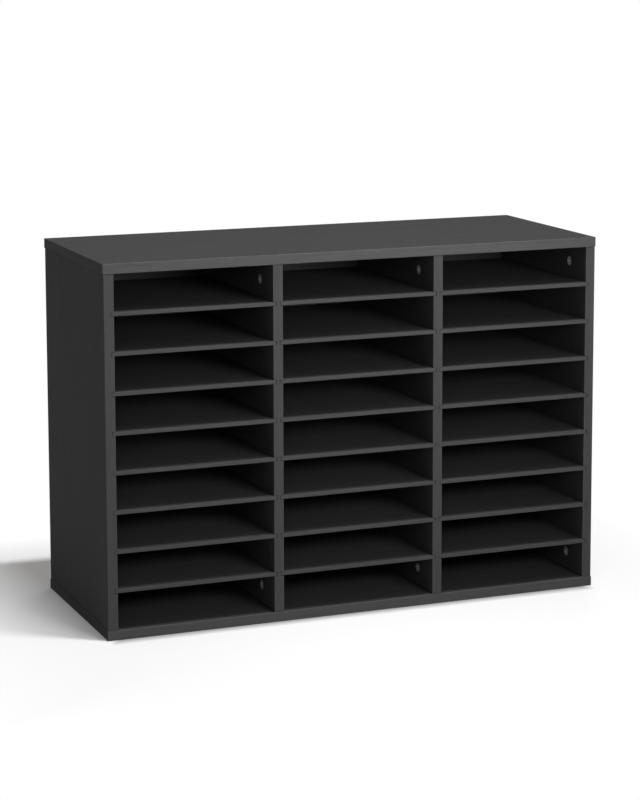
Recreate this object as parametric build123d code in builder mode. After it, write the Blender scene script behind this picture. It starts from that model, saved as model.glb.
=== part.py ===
"""A literature organizer: a carcass of boards with thin shelves that slide out of sawn grooves.

Millimetres. +Z is up, the front faces -Y, and +X is to the right seen from the front.
The origin is on the floor, at the middle of the footprint.
"""

import os

from build123d import *

# Overall sizes
overall_width = 800.0
overall_depth = 316.0
overall_height = 560.0

# Columns from left to right, and rows of compartments
column_names = ["left", "middle", "right"]
row_count = 9

# Boards and the bands on their edges
board_thickness = 15.0
end_overhang = 1.0  # of the top and bottom panels past the side panels
band_thickness = 0.8
band_bevel = 0.5
band_joint = 0.1  # between two bands that meet at a corner

# Shelves and their grooves
shelf_thickness = 6.0
shelf_bevel = 0.6
shelf_setback = 0.3  # behind the boards' front faces
groove_depth = 5.0
shelf_end_clearance = 0.75
shelf_seat_clearance = 0.1
shelf_top_clearance = 0.4
shelf_rear_clearance = 1.0

# Back panels and their grooves
back_thickness = 3.0
back_inset = 8.0  # in from the boards' rear faces
back_groove_depth = 5.0
back_face_clearance = 0.2
back_edge_clearance = 0.5

# Cam locks
cam_diameter = 15.0
cam_clearance = 0.15
cam_recess = 0.3  # of the cam's face below the board's face
cam_bore_floor = 2.7  # board left behind the cam
cam_inset = 29.0  # from the end of the upright board to the cam's axis
cam_setback = 57.0  # from the front and rear faces to the cam's axis
cam_shoulder = 4.2  # from the cam's axis to the wall that the bolt's head bears on
cam_cross_length = 7.5
cam_cross_width = 1.7
cam_cross_depth = 2.0

# Cam bolts
bolt_diameter = 5.0
bolt_head_diameter = 7.0
bolt_head_length = 3.6
bolt_clearance = 0.3
bolt_hole_diameter = 8.0

# Wood dowels
dowel_diameter = 8.0
dowel_length = 30.0
dowel_chamfer = 1.0

# Blind holes in the boards
hole_clearance = 0.1  # round a dowel or a thread
hole_end_clearance = 0.5
hole_floor = 3.5  # of a horizontal panel, left under a blind hole

# Bolts, dowels and their holes are hidden, and drawn with this many flats
hidden_flats = 8

# Places that follow from the sizes above
inner_height = overall_height - 2 * board_thickness
lower_face_z = board_thickness
upper_face_z = overall_height - board_thickness
front_y = -overall_depth / 2
rear_y = overall_depth / 2
core_depth = overall_depth - 2 * band_thickness
core_front_y = front_y + band_thickness
core_rear_y = rear_y - band_thickness
core_width = overall_width - 2 * band_thickness

column_count = len(column_names)
carcass_width = overall_width - 2 * end_overhang
bay_width = (carcass_width - (column_count + 1) * board_thickness) / column_count
upright_pitch = bay_width + board_thickness
first_upright_x = -carcass_width / 2 + board_thickness / 2
upright_centres = [first_upright_x + i * upright_pitch for i in range(column_count + 1)]
bay_centres = [x + upright_pitch / 2 for x in upright_centres[:-1]]

row_pitch = inner_height / row_count
shelf_middles = [upper_face_z - i * row_pitch for i in range(1, row_count)]
groove_height = shelf_seat_clearance + shelf_thickness + shelf_top_clearance
groove_lift = (shelf_top_clearance - shelf_seat_clearance) / 2

back_rear_y = rear_y - back_inset
back_middle_y = back_rear_y - back_thickness / 2
back_groove_width = back_thickness + 2 * back_face_clearance
back_groove_span = carcass_width - 2 * (board_thickness - back_groove_depth)

shelf_front_y = front_y + shelf_setback
shelf_rear_y = back_rear_y - back_thickness - shelf_rear_clearance
shelf_width = bay_width + 2 * (groove_depth - shelf_end_clearance)

# The two ends of an upright board: its height, and the way from there into the board
upright_ends = [(lower_face_z, 1), (upper_face_z, -1)]
cam_depths = [front_y + cam_setback, rear_y - cam_setback]
dowel_depths = [0.0]
cam_height = board_thickness - cam_bore_floor - cam_recess
cam_axis_depth = board_thickness / 2 - cam_recess  # of the bolt's axis below the cam's face

blind_depth = board_thickness - hole_floor
bolt_thread_length = blind_depth - hole_end_clearance
dowel_in_panel = blind_depth - hole_end_clearance
dowel_in_upright = dowel_length - dowel_in_panel

head_start = cam_inset - cam_shoulder + bolt_clearance  # of the bolt, from the joint's face


def save(builder, name):
    builder.part.label = name
    export_step(builder.part, f"parts/{name}.step")


def joint_spots(depths):
    return [(x, y) for x in upright_centres for y in depths]


def make_horizontal_panel(name, inner_z, outward):
    """The top or bottom panel, with blind holes and the back panels' groove in its inner face."""
    inner_face = Plane.XY.offset(inner_z)
    with BuildPart() as panel:
        with BuildSketch(inner_face):
            Rectangle(core_width, core_depth)
        extrude(amount=outward * board_thickness)
        with BuildSketch(inner_face):
            with Locations(joint_spots(cam_depths)):
                RegularPolygon(bolt_diameter / 2 + hole_clearance, hidden_flats)
            with Locations(joint_spots(dowel_depths)):
                RegularPolygon(dowel_diameter / 2 + hole_clearance, hidden_flats)
        extrude(amount=outward * blind_depth, mode=Mode.SUBTRACT)
        with BuildSketch(inner_face):
            with Locations((0, back_middle_y)):
                Rectangle(back_groove_span, back_groove_width)
        extrude(amount=outward * back_groove_depth, mode=Mode.SUBTRACT)
    save(panel, name)


def make_upright_board(name, centre_x, groove_sides, cam_side):
    """A side panel or divider. Grooved sides and the cams' side are -1 for left and 1 for right."""
    with BuildPart() as board:
        with BuildSketch(Plane.XY.offset(lower_face_z)):
            with Locations((centre_x, 0)):
                Rectangle(board_thickness, core_depth)
        extrude(amount=inner_height)

        # Shelf grooves, sawn in from the front edge as far as the back panel's groove
        with BuildSketch(Plane.XZ.offset(-core_front_y)):
            with Locations(groove_spots(centre_x, groove_sides)):
                Rectangle(groove_depth, groove_height)
        extrude(amount=core_front_y - back_middle_y, mode=Mode.SUBTRACT)

        # Grooves that hold the back panels
        with BuildSketch(Plane.XY.offset(lower_face_z)):
            for side in groove_sides:
                with Locations((centre_x + side * (board_thickness - back_groove_depth) / 2, back_middle_y)):
                    Rectangle(back_groove_depth, back_groove_width)
        extrude(amount=inner_height, mode=Mode.SUBTRACT)

        # Bores for the cam locks
        cam_face_x = centre_x + cam_side * board_thickness / 2
        cam_heights = [end_z + into * cam_inset for end_z, into in upright_ends]
        with BuildSketch(Plane(origin=(cam_face_x, 0, 0), x_dir=(0, cam_side, 0), z_dir=(cam_side, 0, 0))):
            with Locations([(y, z) for y in cam_depths for z in cam_heights]):
                Circle(cam_diameter / 2)
        extrude(amount=-(cam_height + cam_recess), mode=Mode.SUBTRACT)

        # Holes in the ends for the cam bolts and dowels
        for end_z, into in upright_ends:
            with BuildSketch(Plane.XY.offset(end_z)):
                with Locations([(centre_x, y) for y in cam_depths]):
                    RegularPolygon(bolt_hole_diameter / 2, hidden_flats)
            extrude(amount=into * cam_inset, mode=Mode.SUBTRACT)
            with BuildSketch(Plane.XY.offset(end_z)):
                with Locations([(centre_x, y) for y in dowel_depths]):
                    RegularPolygon(dowel_diameter / 2 + hole_clearance, hidden_flats)
            extrude(amount=into * (dowel_in_upright + hole_end_clearance), mode=Mode.SUBTRACT)
    save(board, name)


def groove_spots(centre_x, groove_sides):
    """Centres of the shelf grooves of one upright board, seen from the front."""
    inset = (board_thickness - groove_depth) / 2
    return [(centre_x + side * inset, z + groove_lift) for side in groove_sides for z in shelf_middles]


def band_plane(start, along, outward):
    """The plane of a band's profile: local X is across the board's edge, local Y points outward."""
    return Plane(origin=start, x_dir=Vector(outward).cross(Vector(along)), z_dir=along)


def make_panel_bands(name, middle_z):
    """Bands round the four edges of the top or bottom panel."""
    end_length = core_depth - 2 * band_joint
    runs = [
        ((-overall_width / 2, core_front_y, middle_z), (1, 0, 0), (0, -1, 0), overall_width),
        ((-overall_width / 2, core_rear_y, middle_z), (1, 0, 0), (0, 1, 0), overall_width),
        ((-core_width / 2, -end_length / 2, middle_z), (0, 1, 0), (-1, 0, 0), end_length),
        ((core_width / 2, -end_length / 2, middle_z), (0, 1, 0), (1, 0, 0), end_length),
    ]
    with BuildPart() as bands:
        for start, along, outward, length in runs:
            with BuildSketch(band_plane(start, along, outward)) as profile:
                Rectangle(board_thickness, band_thickness, align=(Align.CENTER, Align.MIN))
                chamfer(profile.vertices().group_by(Axis.Y)[-1], band_bevel)
            extrude(amount=length)
    save(bands, name)


def make_upright_bands(name, centre_x, groove_sides):
    """Bands on the front and rear edges of an upright board, the front one cut by the grooves."""
    runs = [
        ((centre_x, core_front_y, lower_face_z), (0, -1, 0)),
        ((centre_x, core_rear_y, lower_face_z), (0, 1, 0)),
    ]
    with BuildPart() as bands:
        for start, outward in runs:
            with BuildSketch(band_plane(start, (0, 0, 1), outward)) as profile:
                Rectangle(board_thickness, band_thickness, align=(Align.CENTER, Align.MIN))
                chamfer(profile.vertices().group_by(Axis.Y)[-1], band_bevel)
            extrude(amount=inner_height)
        with BuildSketch(Plane.XZ.offset(-front_y)):
            with Locations(groove_spots(centre_x, groove_sides)):
                Rectangle(groove_depth, groove_height)
        extrude(amount=-band_thickness, mode=Mode.SUBTRACT)
    save(bands, name)


def make_shelf(name, centre_x, middle_z):
    with BuildPart() as shelf:
        with BuildSketch(Plane.XY.offset(middle_z - shelf_thickness / 2)):
            with Locations((centre_x, (shelf_front_y + shelf_rear_y) / 2)):
                Rectangle(shelf_width, shelf_rear_y - shelf_front_y)
        extrude(amount=shelf_thickness)
        chamfer(shelf.edges().filter_by(Axis.X).group_by(Axis.Y)[0], shelf_bevel)
    save(shelf, name)


def make_back_panel(name, centre_x):
    """A thin back panel that stands on the floor of the bottom panel's groove."""
    width = bay_width + 2 * (back_groove_depth - back_edge_clearance)
    with BuildPart() as back:
        with BuildSketch(Plane.XY.offset(lower_face_z - back_groove_depth)):
            with Locations((centre_x, back_middle_y)):
                Rectangle(width, back_thickness)
        extrude(amount=inner_height + 2 * (back_groove_depth - back_edge_clearance))
    save(back, name)


def make_cam_locks(name, cam_planes):
    """Die-cast cams. Each has its face at local Z 0, and its bolt comes in along local X."""
    pocket_width = bolt_head_diameter + 2 * bolt_clearance
    slot_half_width = bolt_diameter / 2 + bolt_clearance
    with BuildPart() as cam:
        with BuildSketch():
            Circle(cam_diameter / 2 - cam_clearance)
        extrude(amount=-cam_height)
        # The pocket that holds the bolt's head, open on the side that the head comes in by
        with BuildSketch(Plane.YZ.offset(cam_shoulder)):
            with Locations((0, -cam_axis_depth)):
                Rectangle(pocket_width, pocket_width)
        extrude(amount=-(cam_shoulder + cam_diameter / 2), mode=Mode.SUBTRACT)
        # The slot round half the rim, which the bolt's neck runs along as the cam turns
        with BuildSketch(Plane.XY.offset(-cam_axis_depth)):
            with Locations((0, -slot_half_width)):
                Rectangle(cam_diameter, cam_diameter, align=(Align.CENTER, Align.MIN))
        extrude(amount=slot_half_width, both=True, mode=Mode.SUBTRACT)
        # The cross for a screwdriver
        with BuildSketch():
            Rectangle(cam_cross_length, cam_cross_width)
            Rectangle(cam_cross_width, cam_cross_length)
        extrude(amount=-cam_cross_depth, mode=Mode.SUBTRACT)
    with BuildPart() as cam_locks:
        with Locations(cam_planes):
            add(cam.part)
    save(cam_locks, name)


def make_cam_bolts(name, bolt_planes):
    """Bolts with a plain shank: local Z 0 is the joint's face, and the head is in the cam's pocket."""
    with BuildPart() as bolt:
        with BuildSketch(Plane.XY.offset(-bolt_thread_length)):
            RegularPolygon(bolt_diameter / 2, hidden_flats)
        extrude(amount=bolt_thread_length + head_start)
        with BuildSketch(Plane.XY.offset(head_start)):
            RegularPolygon(bolt_head_diameter / 2, hidden_flats)
        extrude(amount=bolt_head_length)
    with BuildPart() as cam_bolts:
        with Locations(bolt_planes):
            add(bolt.part)
    save(cam_bolts, name)


def make_dowels(name, dowel_planes):
    """Dowels with eased ends, part in the horizontal panel and part in the upright board."""
    with BuildPart() as dowel:
        with BuildSketch(Plane.XY.offset(-dowel_in_panel)):
            RegularPolygon(dowel_diameter / 2, hidden_flats)
        extrude(amount=dowel_length)
        ends = dowel.faces().filter_by(Axis.Z)
        chamfer(ends.edges(), dowel_chamfer)
    with BuildPart() as dowels:
        with Locations(dowel_planes):
            add(dowel.part)
    save(dowels, name)


def joint_planes(depths):
    """Planes on the joints' faces, with their normals into the upright boards."""
    return [
        Plane(origin=(x, y, end_z), x_dir=(1, 0, 0), z_dir=(0, 0, into))
        for x, y in joint_spots(depths)
        for end_z, into in upright_ends
    ]


os.makedirs("parts", exist_ok=True)

make_horizontal_panel("top_panel", upper_face_z, 1)
make_horizontal_panel("bottom_panel", lower_face_z, -1)
make_panel_bands("top_panel_edge_bands", overall_height - board_thickness / 2)
make_panel_bands("bottom_panel_edge_bands", board_thickness / 2)

upright_names = ["left_side_panel", "left_divider", "right_divider", "right_side_panel"]
cam_planes = []
for index, (name, centre_x) in enumerate(zip(upright_names, upright_centres)):
    groove_sides = [side for side in (-1, 1) if 0 <= index + (side - 1) / 2 < column_count]
    cam_side = 1 if index == 0 else -1
    make_upright_board(name, centre_x, groove_sides, cam_side)
    make_upright_bands(f"{name}_edge_bands", centre_x, groove_sides)
    cam_face_x = centre_x + cam_side * (board_thickness / 2 - cam_recess)
    cam_planes += [
        Plane(origin=(cam_face_x, y, end_z + into * cam_inset), x_dir=(0, 0, -into), z_dir=(cam_side, 0, 0))
        for y in cam_depths
        for end_z, into in upright_ends
    ]

for column, centre_x in zip(column_names, bay_centres):
    make_back_panel(f"{column}_back_panel", centre_x)
    for number, middle_z in enumerate(shelf_middles, start=1):
        make_shelf(f"shelf_{column}_{number}", centre_x, middle_z)

make_cam_locks("cam_locks", cam_planes)
make_cam_bolts("cam_bolts", joint_planes(cam_depths))
make_dowels("wood_dowels", joint_planes(dowel_depths))
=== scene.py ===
import math

import bmesh
import bpy
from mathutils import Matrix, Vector


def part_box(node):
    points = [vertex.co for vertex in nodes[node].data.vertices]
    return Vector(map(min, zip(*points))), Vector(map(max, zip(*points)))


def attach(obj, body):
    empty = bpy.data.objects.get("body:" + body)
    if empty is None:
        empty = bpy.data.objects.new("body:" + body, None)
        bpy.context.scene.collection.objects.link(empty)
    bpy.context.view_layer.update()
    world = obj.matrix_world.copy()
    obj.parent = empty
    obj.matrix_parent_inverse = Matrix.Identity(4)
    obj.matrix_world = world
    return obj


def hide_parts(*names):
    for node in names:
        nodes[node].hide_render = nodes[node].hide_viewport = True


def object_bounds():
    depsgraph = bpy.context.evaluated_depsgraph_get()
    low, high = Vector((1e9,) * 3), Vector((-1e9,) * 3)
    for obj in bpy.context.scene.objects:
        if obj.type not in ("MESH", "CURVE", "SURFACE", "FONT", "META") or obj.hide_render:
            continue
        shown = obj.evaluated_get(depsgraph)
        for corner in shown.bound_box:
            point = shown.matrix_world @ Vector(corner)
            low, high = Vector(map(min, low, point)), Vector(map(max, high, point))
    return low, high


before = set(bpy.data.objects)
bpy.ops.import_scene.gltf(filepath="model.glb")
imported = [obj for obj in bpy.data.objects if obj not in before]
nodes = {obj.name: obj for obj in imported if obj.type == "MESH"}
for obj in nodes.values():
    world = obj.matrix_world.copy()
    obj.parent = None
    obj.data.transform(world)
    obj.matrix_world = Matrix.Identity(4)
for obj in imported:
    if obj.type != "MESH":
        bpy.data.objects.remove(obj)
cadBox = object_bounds()

uprightNames = ["left_side_panel", "left_divider", "right_divider", "right_side_panel"]
panelNames = ["top_panel", "bottom_panel"]
backNames = [name for name in nodes if name.endswith("_back_panel")]
shelfNames = sorted(name for name in nodes if name.startswith("shelf_"))


nodeGrid = (200, -180)  # from column to column and from row to row in the node editor


def addNode(tree, kind, spot, **settings):
    node = tree.nodes.new(kind)
    node.location = (spot[0] * nodeGrid[0], spot[1] * nodeGrid[1])
    for key, value in settings.items():
        setattr(node, key, value)
    return node


def feed(tree, socket, value):
    if isinstance(value, bpy.types.NodeSocket):
        tree.links.new(value, socket)
    else:
        socket.default_value = value


def addMath(tree, spot, operation, *values):
    node = addNode(tree, "ShaderNodeMath", spot, operation=operation)
    for socket, value in zip(node.inputs, values):
        feed(tree, socket, value)
    return node.outputs[0]


def addRange(tree, spot, value, low, high, toLow=0.0, toHigh=1.0):
    node = addNode(tree, "ShaderNodeMapRange", spot)
    feed(tree, node.inputs["Value"], value)
    for key, number in (("From Min", low), ("From Max", high), ("To Min", toLow), ("To Max", toHigh)):
        node.inputs[key].default_value = number
    return node.outputs["Result"]


def addNoise(tree, spot, vector, stretch, detail, roughness, distortion=0.0):
    scale = addNode(tree, "ShaderNodeVectorMath", spot, operation="MULTIPLY")
    feed(tree, scale.inputs[0], vector)
    scale.inputs[1].default_value = stretch
    noise = addNode(tree, "ShaderNodeTexNoise", (spot[0] + 1, spot[1]))
    feed(tree, noise.inputs["Vector"], scale.outputs[0])
    settings = (("Scale", 1.0), ("Detail", detail), ("Roughness", roughness), ("Distortion", distortion))
    for key, number in settings:
        noise.inputs[key].default_value = number
    return noise.outputs["Fac"]


def addMix(tree, spot, factor, first, second, kind="RGBA"):
    node = addNode(tree, "ShaderNodeMix", spot, data_type=kind)
    sockets = [socket for socket in node.inputs if socket.enabled]  # factor, A and B of that kind
    for socket, value in zip(sockets, (factor, first, second)):
        feed(tree, socket, value)
    return next(socket for socket in node.outputs if socket.enabled)


def newGroup(name, inputs, outputs):
    group = bpy.data.node_groups.new(name, "ShaderNodeTree")
    for label, kind in inputs:
        group.interface.new_socket(name=label, in_out="INPUT", socket_type=kind)
    for label, kind in outputs:
        group.interface.new_socket(name=label, in_out="OUTPUT", socket_type=kind)
    return group, addNode(group, "NodeGroupInput", (-2, 0)), addNode(group, "NodeGroupOutput", (9, 0))


# Printed wood grain: the first coordinate runs along the grain, in metres.
# Each noise has its stretch, detail, roughness and distortion.
grainPrint = {
    "figure": ((1.6, 34.0, 34.0), 3.0, 0.55, 0.6),
    "streaks": ((7.0, 270.0, 270.0), 4.0, 0.6, 0.25),
    "pores": ((42.0, 1700.0, 1700.0), 2.0, 0.5),
    "fibres": ((150.0, 4200.0, 4200.0), 2.0, 0.6),
    "noiseSpan": (0.25, 0.75),  # of the noises that become a tone
    "figureTone": (0.96, 1.04),
    "streakTone": (0.93, 1.07),
    "fibreTone": (0.94, 1.06),
    "toneSpan": (0.85, 1.15),  # of the three tones together
    "poreSpan": (0.56, 0.68),
    "poreZone": (0.36, 0.62, 1.0, 0.25),  # fewer pores where the streaks are pale
    "ridges": 0.25,  # height of the fibres, where a pore's depth is 1
}


def makeGrainGroup():
    group, inside, outside = newGroup(
        "grainPrint",
        [("Coordinates", "NodeSocketVector")],
        [("Tone", "NodeSocketFloat"), ("Pores", "NodeSocketFloat"), ("Height", "NodeSocketFloat")],
    )
    where = inside.outputs["Coordinates"]
    figure = addNoise(group, (0, 0), where, *grainPrint["figure"])
    streaks = addNoise(group, (0, 1), where, *grainPrint["streaks"])
    pores = addNoise(group, (0, 2), where, *grainPrint["pores"])
    fibres = addNoise(group, (0, 3), where, *grainPrint["fibres"])
    poreLine = addRange(group, (3, 2), pores, *grainPrint["poreSpan"])
    poreZone = addRange(group, (3, 1), streaks, *grainPrint["poreZone"])
    poreMask = addMath(group, (4, 2), "MULTIPLY", poreLine, poreZone)
    broad = addRange(group, (3, 0), figure, *grainPrint["noiseSpan"], *grainPrint["figureTone"])
    fine = addRange(group, (4, 1), streaks, *grainPrint["noiseSpan"], *grainPrint["streakTone"])
    threads = addRange(group, (3, 3), fibres, *grainPrint["noiseSpan"], *grainPrint["fibreTone"])
    tone = addMath(group, (6, 0), "MULTIPLY", addMath(group, (5, 0), "MULTIPLY", broad, fine), threads)
    ridges = addMath(group, (5, 3), "MULTIPLY", fibres, grainPrint["ridges"])
    height = addMath(group, (6, 2), "SUBTRACT", ridges, poreMask)
    feed(group, outside.inputs["Tone"], tone)
    feed(group, outside.inputs["Pores"], poreMask)
    feed(group, outside.inputs["Height"], height)
    return group


# Raw pressed fibre, as on sawn edges, in grooves and on the rear of the backs
fibreBoard = {
    "fluff": ((2600.0, 2600.0, 2600.0), 2.0, 0.6),
    "upStrands": ((900.0, 900.0, 130.0), 3.0, 0.6, 1.2),
    "acrossStrands": ((130.0, 900.0, 900.0), 3.0, 0.6, 1.2),
    "clouds": ((24.0, 24.0, 24.0), 3.0, 0.55),
    "flecks": ((520.0, 520.0, 520.0), 2.0, 0.5),
    "acrossShare": 0.5,
    "fluffShare": 0.35,
    "cloudShare": 0.1,
    "toneSpan": (0.4, 0.6),
    "fleckSpan": (0.66, 0.72, 0.0, 0.5),
}


def makeFibreGroup():
    group, inside, outside = newGroup(
        "fibreBoard",
        [("Coordinates", "NodeSocketVector"), ("Light Fibre", "NodeSocketColor"),
         ("Dark Fibre", "NodeSocketColor")],
        [("Color", "NodeSocketColor"), ("Height", "NodeSocketFloat")],
    )
    where = inside.outputs["Coordinates"]
    fluff = addNoise(group, (0, 0), where, *fibreBoard["fluff"])
    upStrands = addNoise(group, (0, 1), where, *fibreBoard["upStrands"])
    acrossStrands = addNoise(group, (0, 2), where, *fibreBoard["acrossStrands"])
    clouds = addNoise(group, (0, 3), where, *fibreBoard["clouds"])
    flecks = addNoise(group, (0, 4), where, *fibreBoard["flecks"])
    strands = addMix(group, (2, 1), fibreBoard["acrossShare"], upStrands, acrossStrands, "FLOAT")
    fine = addMix(group, (3, 0), fibreBoard["fluffShare"], strands, fluff, "FLOAT")
    mixed = addMix(group, (3, 1), fibreBoard["cloudShare"], fine, clouds, "FLOAT")
    share = addRange(group, (4, 0), mixed, *fibreBoard["toneSpan"])
    colour = addMix(group, (5, 0), share, inside.outputs["Dark Fibre"], inside.outputs["Light Fibre"])
    fleckMask = addRange(group, (4, 4), flecks, *fibreBoard["fleckSpan"])
    colour = addMix(group, (6, 0), fleckMask, colour, inside.outputs["Dark Fibre"])
    feed(group, outside.inputs["Color"], colour)
    feed(group, outside.inputs["Height"], fine)
    return group


grainGroup = makeGrainGroup()
fibreGroup = makeFibreGroup()
print("shader groups made")


def newMaterial(name, specular):
    material = bpy.data.materials.new(name)
    material.use_nodes = True
    tree = material.node_tree
    tree.nodes.clear()
    shader = addNode(tree, "ShaderNodeBsdfPrincipled", (10, 0))
    shader.inputs["Specular IOR Level"].default_value = specular
    output = addNode(tree, "ShaderNodeOutputMaterial", (12, 0))
    feed(tree, output.inputs["Surface"], shader.outputs[0])
    return material, tree, shader


def splitVector(tree, spot, vector):
    node = addNode(tree, "ShaderNodeSeparateXYZ", spot)
    feed(tree, node.inputs[0], vector)
    return list(node.outputs)


def reorder(tree, spot, axes, order):
    node = addNode(tree, "ShaderNodeCombineXYZ", spot)
    for socket, axis in zip(node.inputs, order):
        feed(tree, socket, axes[axis])
    return node.outputs[0]


def placeGroup(tree, spot, group, vector, **colours):
    node = addNode(tree, "ShaderNodeGroup", spot, node_tree=group)
    feed(tree, node.inputs["Coordinates"], vector)
    for key, colour in colours.items():
        node.inputs[key.replace("_", " ")].default_value = (*colour, 1.0)
    return node.outputs


def addBump(tree, spot, shader, height, strength, distance):
    bump = addNode(tree, "ShaderNodeBump", spot)
    bump.inputs["Strength"].default_value = strength
    bump.inputs["Distance"].default_value = distance
    feed(tree, bump.inputs["Height"], height)
    feed(tree, shader.inputs["Normal"], bump.outputs[0])


def grainColour(tree, spot, colour, grain, poreDarkness):
    paint = addNode(tree, "ShaderNodeVectorMath", spot, operation="SCALE")
    feed(tree, paint.inputs[0], colour)
    feed(tree, paint.inputs["Scale"], grain["Tone"])
    dark = addNode(tree, "ShaderNodeVectorMath", (spot[0] + 1, spot[1] + 1), operation="SCALE")
    feed(tree, dark.inputs[0], paint.outputs[0])
    dark.inputs["Scale"].default_value = poreDarkness
    return addMix(tree, (spot[0] + 2, spot[1]), grain["Pores"], paint.outputs[0], dark.outputs[0])


# Paler grain is a little smoother
def grainSheen(tree, spot, grain, roughness):
    smooth, rough = roughness
    return addRange(tree, spot, grain["Tone"], *grainPrint["toneSpan"], rough, smooth)


# How far a point is from the middle of its board, where the boards stand a pitch apart
def offsetInBoard(tree, spot, along, middle, pitch):
    fromFirst = addMath(tree, (spot[0] - 1, spot[1]), "SUBTRACT", along, middle)
    return addMath(tree, spot, "WRAP", fromFirst, pitch / 2, -pitch / 2)


def depthInBoard(tree, spot, *board):
    return addMath(tree, (spot[0] + 1, spot[1]), "ABSOLUTE", offsetInBoard(tree, spot, *board))


# Painted shade: a dark line where an upright board butts against the top and bottom panels. It stands in
# for the shadow in the joint, since the boards themselves touch
paintedJointShade = {
    "line": (0.0022, 0.0008),  # from the board's end, where it starts and where it is full
    "colour": (0.007, 0.007, 0.007),
}


def makePaintedJointShadeGroup():
    low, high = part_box(uprightNames[0])
    group, inside, outside = newGroup(
        "paintedJointShade",
        [("Coordinates", "NodeSocketVector")],
        [("Lower Line", "NodeSocketFloat"), ("Upper Line", "NodeSocketFloat")],
    )
    height = splitVector(group, (0, 0), inside.outputs["Coordinates"])[2]
    fromLower = addMath(group, (1, 0), "SUBTRACT", height, low[2])
    fromUpper = addMath(group, (1, 1), "SUBTRACT", high[2], height)
    feed(group, outside.inputs["Lower Line"], addRange(group, (2, 0), fromLower, *paintedJointShade["line"]))
    feed(group, outside.inputs["Upper Line"], addRange(group, (2, 1), fromUpper, *paintedJointShade["line"]))
    return group


paintedJointShadeGroup = makePaintedJointShadeGroup()


# Mixes the painted shade of the joints into a board's colour
def paintJointShade(tree, spot, where, paint, lowerShare, upperShare):
    lines = placeGroup(tree, spot, paintedJointShadeGroup, where)
    lower = addMath(tree, (spot[0] + 1, spot[1]), "MULTIPLY", lines["Lower Line"], lowerShare)
    upper = addMath(tree, (spot[0] + 1, spot[1] - 1), "MULTIPLY", lines["Upper Line"], upperShare)
    line = addMath(tree, (spot[0] + 2, spot[1]), "ADD", lower, upper)
    return addMix(tree, (spot[0] + 3, spot[1]), line, paint, (*paintedJointShade["colour"], 1.0))


foil = {
    "colour": (0.035, 0.0347, 0.035),
    "frontColour": (0.05, 0.0495, 0.05),  # round the shelves' front edges
    "poreDarkness": 0.66,
    "specular": 0.08,
    "roughness": (0.76, 0.86),
    "rawRoughness": 0.9,
    "bump": (0.35, 0.00005),
    "skin": 0.00012,  # the foil's depth below the board's face
    "frontWrap": 0.0008,  # how far it goes round a shelf's front edge
    "paintedJointShadeShares": (1.0, 0.25),  # of the painted joint shade, at a board's lower and upper end
}
rawFibre = {"Light_Fibre": (0.235, 0.16, 0.098), "Dark_Fibre": (0.115, 0.073, 0.043)}


def foilMaterial(name, order, faceAxis, faceMiddle, faceHalf, pitch, wrappedFront=None, withPaintedJointShade=False):
    material, tree, shader = newMaterial(name, foil["specular"])
    where = addNode(tree, "ShaderNodeTexCoord", (-5, 0)).outputs["Object"]
    axes = splitVector(tree, (-4, 0), where)
    grain = placeGroup(tree, (-2, 0), grainGroup, reorder(tree, (-3, 0), axes, order))
    core = placeGroup(tree, (-2, 2), fibreGroup, where, **rawFibre)
    colour = foil["colour"]
    depth = depthInBoard(tree, (-1, 4), axes[faceAxis], faceMiddle, pitch)
    skin = addMath(tree, (1, 4), "GREATER_THAN", depth, faceHalf - foil["skin"])
    if wrappedFront is not None:
        front = addMath(tree, (-2, 5), "LESS_THAN", axes[1], wrappedFront)
        skin = addMath(tree, (2, 5), "MAXIMUM", skin, front)
        colour = addMix(tree, (-1, 5), front, (*colour, 1.0), (*foil["frontColour"], 1.0))
    paint = grainColour(tree, (0, 0), colour, grain, foil["poreDarkness"])
    # painted shade along the upright's joints with the panels
    if withPaintedJointShade:
        paint = paintJointShade(tree, (0, -2), where, paint, *foil["paintedJointShadeShares"])
    feed(tree, shader.inputs["Base Color"], addMix(tree, (4, 0), skin, core["Color"], paint))
    sheen = grainSheen(tree, (2, 2), grain, foil["roughness"])
    rough = addMix(tree, (4, 2), skin, foil["rawRoughness"], sheen, "FLOAT")
    feed(tree, shader.inputs["Roughness"], rough)
    addBump(tree, (8, 3), shader, grain["Height"], *foil["bump"])
    return material


band = {
    "uprightColour": (0.047, 0.0465, 0.047),
    # The panels' bands are lighter than the uprights' bands and than their own ends: painted light for
    # the extra light and sheen on the panels' front edges
    "panelColour": (0.06, 0.0595, 0.06),
    "endColour": (0.034, 0.0337, 0.034),  # on the panels' ends
    "endFacing": 0.7,  # a face that turns sideways more than this is an end
    "arrisHighlightColour": (0.082, 0.081, 0.082),
    "arrisHighlightStrip": (0.0007, 0.0003),  # strip of painted highlight along the arrises, from the board's faces
    "poreDarkness": 0.72,
    "specular": 0.08,
    "roughness": (0.72, 0.82),
    "bump": (0.3, 0.00004),
    "paintedJointShadeShares": (0.2, 0.4),  # of the painted joint shade, on the uprights' bands
}


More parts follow.
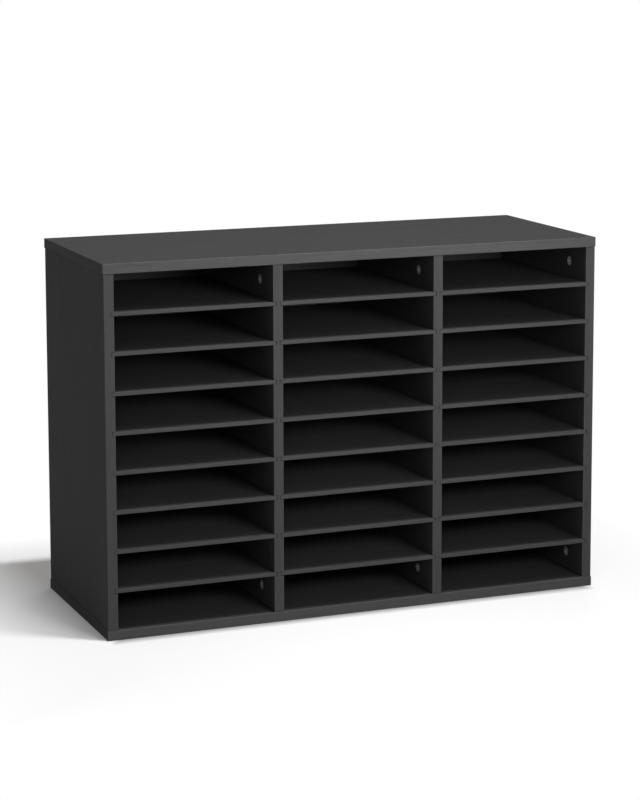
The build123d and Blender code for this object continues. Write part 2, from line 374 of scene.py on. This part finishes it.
def bandMaterial(name, colour, order, acrossAxis, acrossMiddle, acrossHalf, pitch, endOrder=None):
    material, tree, shader = newMaterial(name, band["specular"])
    texture = addNode(tree, "ShaderNodeTexCoord", (-5, 0))
    axes = splitVector(tree, (-4, 0), texture.outputs["Object"])
    along = reorder(tree, (-3, 0), axes, order)
    if endOrder:
        # bands on the panels' ends have their grain from front to rear
        facing = splitVector(tree, (-5, 2), texture.outputs["Normal"])[0]
        sideways = addMath(tree, (-4, 2), "ABSOLUTE", facing)
        onEnd = addMath(tree, (-3, 2), "GREATER_THAN", sideways, band["endFacing"])
        along = addMix(tree, (-2, 1), onEnd, along, reorder(tree, (-3, 1), axes, endOrder), "VECTOR")
        colour = addMix(tree, (-2, 3), onEnd, (*colour, 1.0), (*band["endColour"], 1.0))
    grain = placeGroup(tree, (-1, 0), grainGroup, along)
    paint = grainColour(tree, (0, 0), colour, grain, band["poreDarkness"])
    # painted shade along the upright bands' joints with the panels
    if not endOrder:
        paint = paintJointShade(tree, (0, -2), texture.outputs["Object"], paint, *band["paintedJointShadeShares"])
    measure = offsetInBoard if endOrder else depthInBoard  # a panel gets the painted highlight on its upper arris alone, where the light from above catches it
    depth = measure(tree, (-1, 4), axes[acrossAxis], acrossMiddle, pitch)
    # painted highlight along the arrises, where they catch the light
    arrisHighlight = addRange(tree, (1, 4), depth, *(acrossHalf - strip for strip in band["arrisHighlightStrip"]))
    if endOrder:
        offEnd = addMath(tree, (2, 4), "SUBTRACT", 1.0, onEnd)
        arrisHighlight = addMath(tree, (3, 4), "MULTIPLY", arrisHighlight, offEnd)
    paint = addMix(tree, (4, 0), arrisHighlight, paint, (*band["arrisHighlightColour"], 1.0))
    feed(tree, shader.inputs["Base Color"], paint)
    feed(tree, shader.inputs["Roughness"], grainSheen(tree, (2, 2), grain, band["roughness"]))
    addBump(tree, (8, 3), shader, grain["Height"], *band["bump"])
    return material


def middleOf(name, axis):
    low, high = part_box(name)
    return (low[axis] + high[axis]) / 2


def halfOf(name, axis):
    low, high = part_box(name)
    return (high[axis] - low[axis]) / 2


def dress(names, material):
    for name in names:
        data = nodes[name].data
        data.materials.clear()
        data.materials.append(material)


# axis of each row's thickness, then its middle, half thickness and pitch
uprightRow = (0, middleOf(uprightNames[0], 0), halfOf(uprightNames[0], 0),
              middleOf(uprightNames[1], 0) - middleOf(uprightNames[0], 0))
panelRow = (2, middleOf(panelNames[1], 2), halfOf(panelNames[1], 2),
            middleOf(panelNames[0], 2) - middleOf(panelNames[1], 2))
shelfRow = (2, middleOf(shelfNames[0], 2), halfOf(shelfNames[0], 2),
            middleOf(shelfNames[0], 2) - middleOf(shelfNames[1], 2))
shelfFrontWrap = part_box(shelfNames[0])[0][1] + foil["frontWrap"]

# In each order of axes, the first one runs along the grain
dress(uprightNames, foilMaterial("uprightFoil", (2, 1, 0), *uprightRow, withPaintedJointShade=True))
dress(panelNames, foilMaterial("panelFoil", (0, 1, 2), *panelRow))
dress(shelfNames, foilMaterial("shelfFoil", (0, 1, 2), *shelfRow, shelfFrontWrap))
dress([name + "_edge_bands" for name in uprightNames],
      bandMaterial("uprightBand", band["uprightColour"], (2, 0, 1), *uprightRow))
dress([name + "_edge_bands" for name in panelNames],
      bandMaterial("panelBand", band["panelColour"], (0, 2, 1), *panelRow, (1, 2, 0)))
print("boards, shelves and bands dressed")


hardboard = {
    "printColour": (0.018, 0.018, 0.0185),
    "poreDarkness": 0.7,
    "specular": 0.1,
    "roughness": (0.85, 0.7),  # raw and printed
    "bump": (0.2, 0.00005),
    "fibre": {"Light_Fibre": (0.25, 0.165, 0.1), "Dark_Fibre": (0.155, 0.098, 0.057)},
}


def hardboardMaterial():
    material, tree, shader = newMaterial("backHardboard", hardboard["specular"])
    where = addNode(tree, "ShaderNodeTexCoord", (-5, 0)).outputs["Object"]
    axes = splitVector(tree, (-4, 0), where)
    grain = placeGroup(tree, (-2, 0), grainGroup, reorder(tree, (-3, 0), axes, (2, 0, 1)))
    core = placeGroup(tree, (-2, 2), fibreGroup, where, **hardboard["fibre"])
    paint = grainColour(tree, (0, 0), hardboard["printColour"], grain, hardboard["poreDarkness"])
    printed = addMath(tree, (1, 4), "LESS_THAN", axes[1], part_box(backNames[0])[0][1] + foil["skin"])
    feed(tree, shader.inputs["Base Color"], addMix(tree, (4, 0), printed, core["Color"], paint))
    rough = addRange(tree, (4, 2), printed, 0.0, 1.0, *hardboard["roughness"])
    feed(tree, shader.inputs["Roughness"], rough)
    addBump(tree, (8, 3), shader, core["Height"], *hardboard["bump"])
    return material


camZinc = {
    "colour": (0.43, 0.42, 0.41),
    "worn": (0.55, 0.54, 0.53),
    "roughness": (0.42, 0.58),
    "metallic": 0.6,  # dull with oxide
}
boltSteel = {
    "colour": (0.58, 0.58, 0.58),
    "worn": (0.68, 0.67, 0.65),
    "roughness": (0.25, 0.4),
    "metallic": 1.0,
}
metalSkin = {
    "specular": 0.5,
    "mottle": ((700.0, 700.0, 700.0), 3.0, 0.6),
    "scuffs": ((300.0, 2600.0, 2600.0), 2.0, 0.5),
    "mottleSpan": (0.35, 0.65),
    "scuffSpan": (0.3, 0.7),
    "bump": (0.15, 0.00004),
}


def metalMaterial(name, metal):
    material, tree, shader = newMaterial(name, metalSkin["specular"])
    where = addNode(tree, "ShaderNodeTexCoord", (-5, 0)).outputs["Object"]
    mottle = addNoise(tree, (-3, 0), where, *metalSkin["mottle"])
    scuffs = addNoise(tree, (-3, 2), where, *metalSkin["scuffs"])
    share = addRange(tree, (0, 0), mottle, *metalSkin["mottleSpan"])
    paint = addMix(tree, (1, 0), share, (*metal["colour"], 1.0), (*metal["worn"], 1.0))
    feed(tree, shader.inputs["Base Color"], paint)
    rough = addRange(tree, (0, 2), scuffs, *metalSkin["scuffSpan"], *metal["roughness"])
    feed(tree, shader.inputs["Roughness"], rough)
    shader.inputs["Metallic"].default_value = metal["metallic"]
    addBump(tree, (8, 3), shader, mottle, *metalSkin["bump"])
    return material


beech = {"colour": (0.56, 0.4, 0.245), "poreDarkness": 0.75, "specular": 0.3, "roughness": 0.65}


def beechMaterial():
    material, tree, shader = newMaterial("dowelBeech", beech["specular"])
    where = addNode(tree, "ShaderNodeTexCoord", (-5, 0)).outputs["Object"]
    axes = splitVector(tree, (-4, 0), where)
    grain = placeGroup(tree, (-2, 0), grainGroup, reorder(tree, (-3, 0), axes, (2, 0, 1)))
    paint = grainColour(tree, (0, 0), beech["colour"], grain, beech["poreDarkness"])
    feed(tree, shader.inputs["Base Color"], paint)
    shader.inputs["Roughness"].default_value = beech["roughness"]
    return material


# Cast cams with their face edges rounded, as they come out of the die
camCasting = {
    "recess": 0.0003,  # of a cam's face in its board
    "rounding": 0.00022,
    "segments": 2,
    "flatAngle": 1.0,
    "sharpAngle": 32.0,
    "mergeDistance": 1e-6,
    "planeTolerance": 1e-5,
}


def roundCams():
    cast = bmesh.new()
    cast.from_mesh(nodes["cam_locks"].data)
    bmesh.ops.remove_doubles(cast, verts=cast.verts, dist=camCasting["mergeDistance"])
    flat = math.radians(camCasting["flatAngle"])
    bmesh.ops.dissolve_limit(cast, angle_limit=flat, verts=cast.verts, edges=cast.edges)
    facePlanes = []
    for name in uprightNames:
        side = 1 if name == uprightNames[0] else -1  # the face that the cams are set in
        facePlanes.append(middleOf(name, 0) + side * (halfOf(name, 0) - camCasting["recess"]))
    sharp = math.radians(camCasting["sharpAngle"])
    near = camCasting["planeTolerance"]
    rims = [
        edge for edge in cast.edges
        if edge.calc_face_angle(0.0) > sharp
        and any(all(abs(corner.co.x - plane) < near for corner in edge.verts) for plane in facePlanes)
    ]
    bmesh.ops.bevel(cast, geom=rims, affect="EDGES", offset=camCasting["rounding"], offset_type="OFFSET",
                    segments=camCasting["segments"], profile=0.5, material=-1, clamp_overlap=True)
    data = bpy.data.meshes.new("camLocks")
    cast.to_mesh(data)
    cast.free()
    data.shade_smooth()
    data.set_sharp_from_angle(angle=sharp)
    cams = bpy.data.objects.new("camLocks", data)
    bpy.context.scene.collection.objects.link(cams)
    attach(cams, "carcass")
    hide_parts("cam_locks")
    print("cams rounded:", len(rims), "edges")
    return cams


roundCams().data.materials.append(metalMaterial("camZinc", camZinc))
dress(backNames, hardboardMaterial())
dress(["cam_bolts"], metalMaterial("boltSteel", boltSteel))
dress(["wood_dowels"], beechMaterial())
print("backs and fittings dressed")


# Camera, at the photograph's viewing angle
camera = {
    "location": (-1.395, -3.513, 1.048),
    "aim": (0.0669, 0.0, 0.5085),
    "lens": 109.94,
    "shift": (-0.05, -0.165),
}


def aimAt(item, location, aim):
    item.location = location
    item.rotation_euler = (Vector(aim) - Vector(location)).to_track_quat("-Z", "Y").to_euler()


cameraData = bpy.data.cameras.new("camera")
cameraData.lens = camera["lens"]
cameraData.shift_x, cameraData.shift_y = camera["shift"]
cameraObject = bpy.data.objects.new("camera", cameraData)
bpy.context.scene.collection.objects.link(cameraObject)
aimAt(cameraObject, camera["location"], camera["aim"])
bpy.context.scene.camera = cameraObject
print("camera set")


# Soft boxes: one high up, a gridded one in front that lights the upper fronts most,
# one at the left and one behind
lamps = {
    "topSoftBox": {
        "location": (0.24, -0.63, 3.0), "aim": (-0.05, 0.0, 0.3), "size": (0.26, 0.13),
        "power": 54.0, "spread": 180.0,
    },
    "frontSoftBox": {
        "location": (0.35, -1.7, 0.75), "aim": (-0.05, -0.158, 0.75), "size": (0.8, 0.3),
        "power": 7.8, "spread": 84.0,
    },
    "leftSoftBox": {
        "location": (-1.6, -2.3, 0.95), "aim": (0.0, -0.1, 0.35), "size": (0.9, 0.7),
        "power": 9.0, "spread": 180.0,
    },
    "rearSoftBox": {
        "location": (1.5, 2.1, 0.33), "aim": (0.0, 0.1, 0.3), "size": (0.9, 0.4),
        "power": 26.0, "spread": 180.0,
    },
}
for name, lamp in lamps.items():
    lampData = bpy.data.lights.new(name, "AREA")
    lampData.shape = "RECTANGLE"
    lampData.size, lampData.size_y = lamp["size"]
    lampData.energy = lamp["power"]
    lampData.spread = math.radians(lamp["spread"])
    lampObject = bpy.data.objects.new(name, lampData)
    bpy.context.scene.collection.objects.link(lampObject)
    aimAt(lampObject, lamp["location"], lamp["aim"])


def seenDirectly(tree, spot):
    path = addNode(tree, "ShaderNodeLightPath", spot).outputs
    seen = addMath(tree, (spot[0] + 1, spot[1]), "MAXIMUM", path["Is Camera Ray"], path["Is Glossy Ray"])
    return addMath(tree, (spot[0] + 2, spot[1]), "MAXIMUM", seen, path["Is Transmission Ray"])


# White surroundings to the eye, a dim room to the light
room = {"ambient": 0.16}


def makeRoom():
    world = bpy.data.worlds.new("studio")
    bpy.context.scene.world = world
    world.use_nodes = True
    tree = world.node_tree
    tree.nodes.clear()
    background = addNode(tree, "ShaderNodeBackground", (4, 0))
    background.inputs["Color"].default_value = (1.0, 1.0, 1.0, 1.0)
    strength = addRange(tree, (3, 0), seenDirectly(tree, (0, 0)), 0.0, 1.0, room["ambient"], 1.0)
    feed(tree, background.inputs["Strength"], strength)
    output = addNode(tree, "ShaderNodeOutputWorld", (5, 0))
    feed(tree, output.inputs["Surface"], background.outputs[0])


# Pale floor that keeps the shadow near the object and runs out to white
floor = {
    "radius": 6.0,
    "segments": 96,
    "below": 0.0002,  # how far it lies under the object
    "colour": 0.95,
    "bounce": 0.5,  # what it gives back to the object
    "lift": 0.07,  # of the shadow, to the eye
    "sideFade": (0.0, 0.24),  # where the shadow runs out, from the object's sides
    "depthFade": (0.16, 0.32),  # and from its front and rear
    "contactWidth": 0.023,  # of the shade along the front and rear
    "contactShade": 0.3,  # share of the colour that is left at the object
    "contactEnds": 0.03,  # where that shade runs out, in from the object's sides
}


# How far a point of the floor is outside the object's footprint along one axis
def pastFootprint(tree, spot, along, axis):
    fromMiddle = addMath(tree, spot, "ABSOLUTE", along)
    return addMath(tree, (spot[0] + 1, spot[1]), "SUBTRACT", fromMiddle, cadBox[1][axis])


def floorMaterial():
    material = bpy.data.materials.new("paleFloor")
    material.use_nodes = True
    tree = material.node_tree
    tree.nodes.clear()
    seen = seenDirectly(tree, (0, 0))
    axes = splitVector(tree, (-4, 2), addNode(tree, "ShaderNodeTexCoord", (-5, 2)).outputs["Object"])
    pastSide = pastFootprint(tree, (-3, 2), axes[0], 0)
    pastDepth = pastFootprint(tree, (-3, 4), axes[1], 1)
    sideFade = addRange(tree, (-1, 2), pastSide, *floor["sideFade"])
    depthFade = addRange(tree, (-1, 3), pastDepth, *floor["depthFade"])
    far = addMath(tree, (0, 3), "MAXIMUM", sideFade, depthFade)
    ends = addRange(tree, (0, 5), pastSide, -floor["contactEnds"], 0.0)
    shade = addRange(tree, (2, 5), pastDepth, 0.0, floor["contactWidth"], floor["contactShade"], 1.0)
    contact = addMath(tree, (3, 5), "MAXIMUM", shade, ends)
    matte = addNode(tree, "ShaderNodeBsdfDiffuse", (5, 0))
    pale = addRange(tree, (3, 0), seen, 0.0, 1.0, floor["bounce"], floor["colour"])
    feed(tree, matte.inputs["Color"], addMath(tree, (4, 0), "MULTIPLY", pale, contact))
    lift = addNode(tree, "ShaderNodeEmission", (5, 1))
    feed(tree, lift.inputs["Strength"], addMath(tree, (4, 1), "MULTIPLY", seen, floor["lift"]))
    near = addNode(tree, "ShaderNodeAddShader", (6, 0))
    feed(tree, near.inputs[0], matte.outputs[0])
    feed(tree, near.inputs[1], lift.outputs[0])
    white = addNode(tree, "ShaderNodeEmission", (6, 1))
    mix = addNode(tree, "ShaderNodeMixShader", (7, 0))
    feed(tree, mix.inputs[0], addMath(tree, (3, 2), "MULTIPLY", far, seen))
    feed(tree, mix.inputs[1], near.outputs[0])
    feed(tree, mix.inputs[2], white.outputs[0])
    output = addNode(tree, "ShaderNodeOutputMaterial", (8, 0))
    feed(tree, output.inputs["Surface"], mix.outputs[0])
    return material


def makeFloor():
    disc = bmesh.new()
    bmesh.ops.create_circle(disc, cap_ends=True, segments=floor["segments"], radius=floor["radius"])
    bmesh.ops.translate(disc, verts=disc.verts, vec=(0.0, 0.0, cadBox[0].z - floor["below"]))
    data = bpy.data.meshes.new("floor")
    disc.to_mesh(data)
    disc.free()
    data.materials.append(floorMaterial())
    floorObject = bpy.data.objects.new("floor", data)
    bpy.context.scene.collection.objects.link(floorObject)


makeRoom()
makeFloor()
bpy.context.scene.view_settings.view_transform = "Standard"
print("stage lit")
